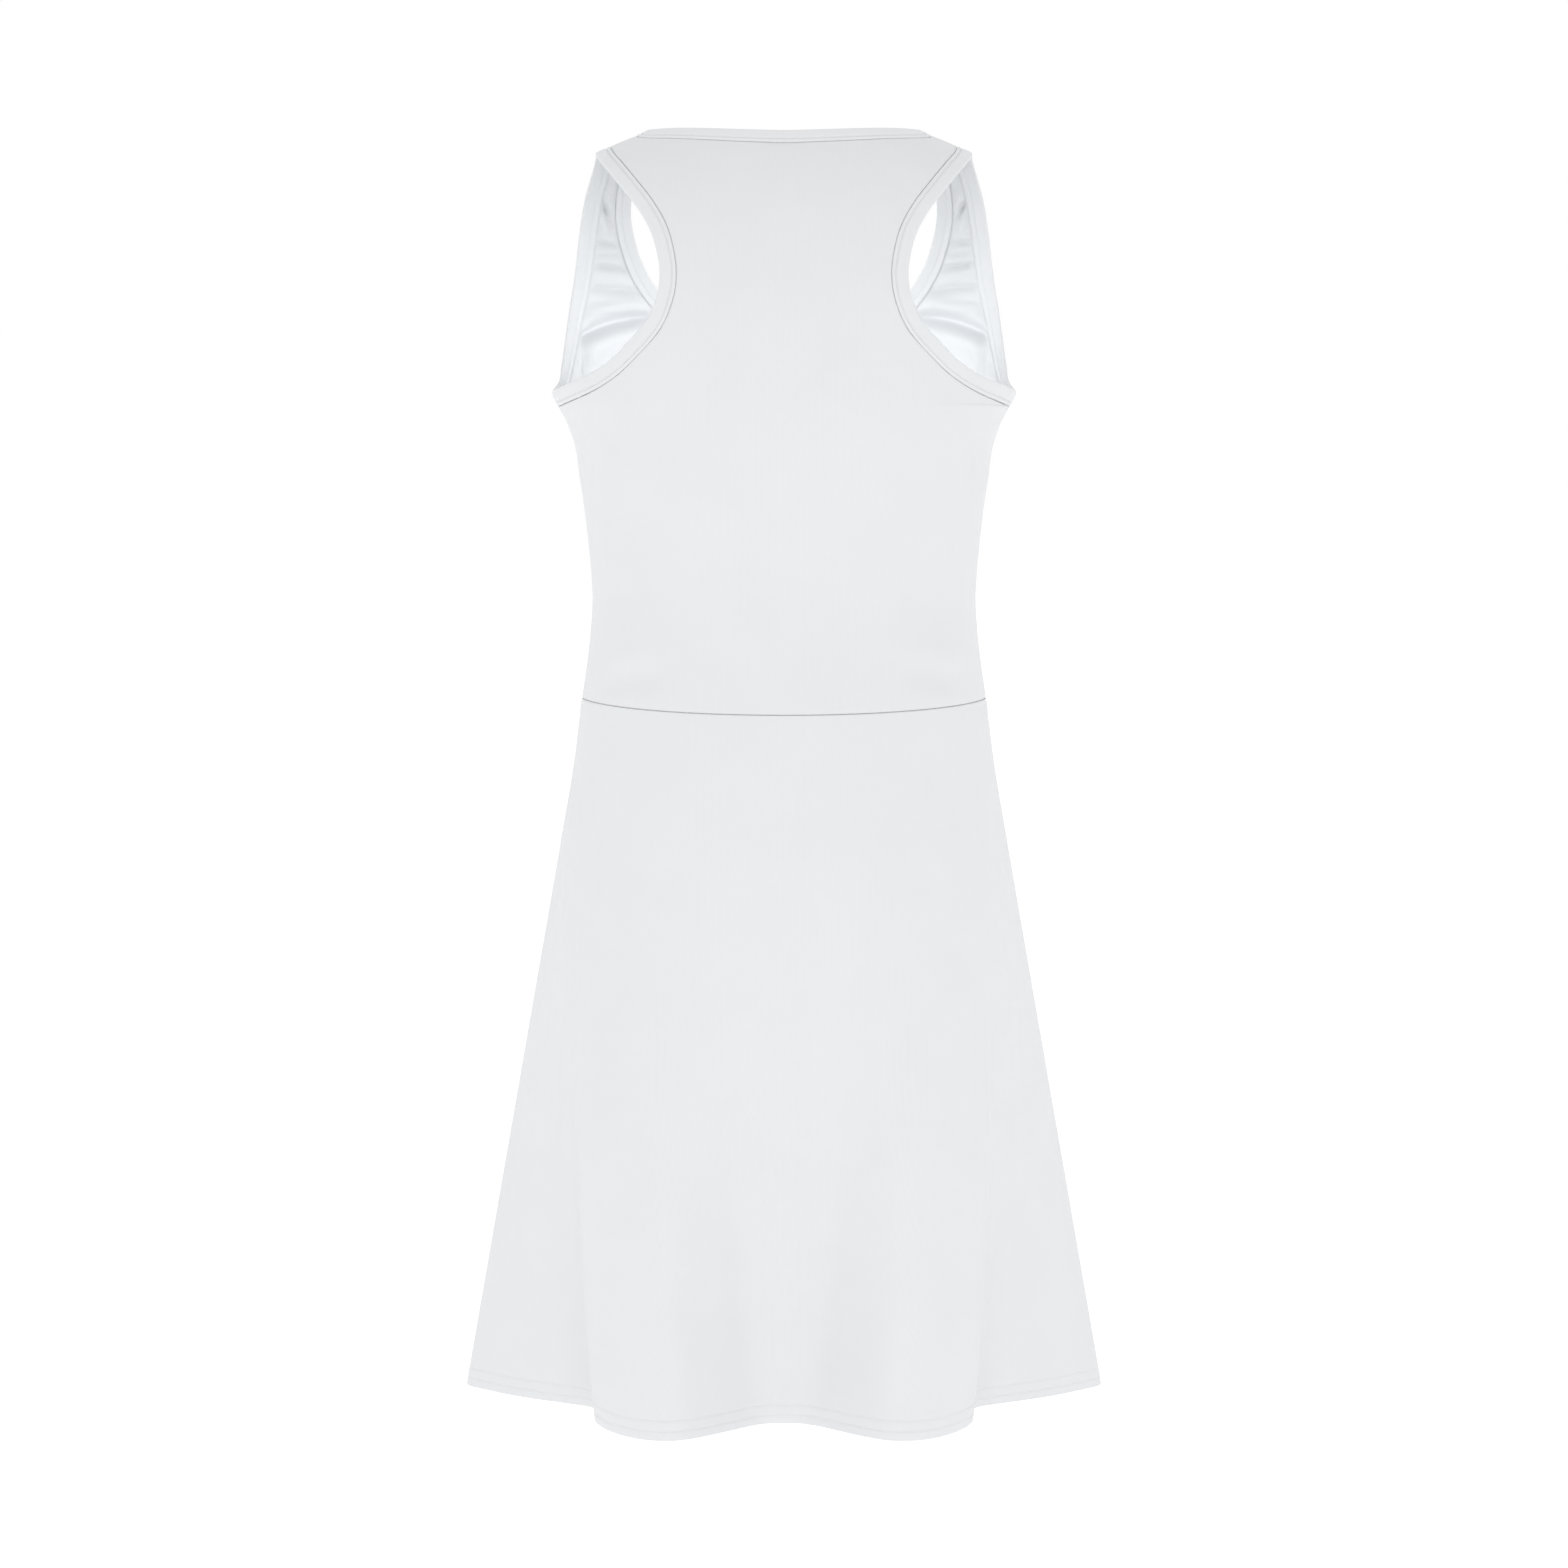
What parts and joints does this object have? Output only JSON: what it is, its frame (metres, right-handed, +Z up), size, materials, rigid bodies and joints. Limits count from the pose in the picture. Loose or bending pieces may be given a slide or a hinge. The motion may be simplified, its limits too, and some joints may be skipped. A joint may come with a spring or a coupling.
{
  "type": "tennis dress",
  "caption": "Plain white sleeveless jersey tennis dress with a racer back, bound neck and armholes, waist seam and flared skirt.",
  "frame": {"origin": "midway between the neck ends of the two shoulder seams, where the straps hang on the shoulders", "axes": "+Z up along the body, +X to the wearer's right, +Y out of the front of the dress, so the racer back faces -Y"},
  "size_m": [0.4282, 0.3195, 0.8377],
  "materials": {
    "white_jersey": "smooth matt polyester and elastane jersey",
    "white_binding": "folded jersey binding, matt"
  },
  "bodies": {
    "root": {"back_bodice": "white_jersey", "front_bodice": "white_jersey", "back_skirt": "white_jersey", "front_skirt": "white_jersey", "neck_binding": "white_binding", "armhole_binding_left": "white_binding", "armhole_binding_right": "white_binding"}
  },
  "joints": []
}
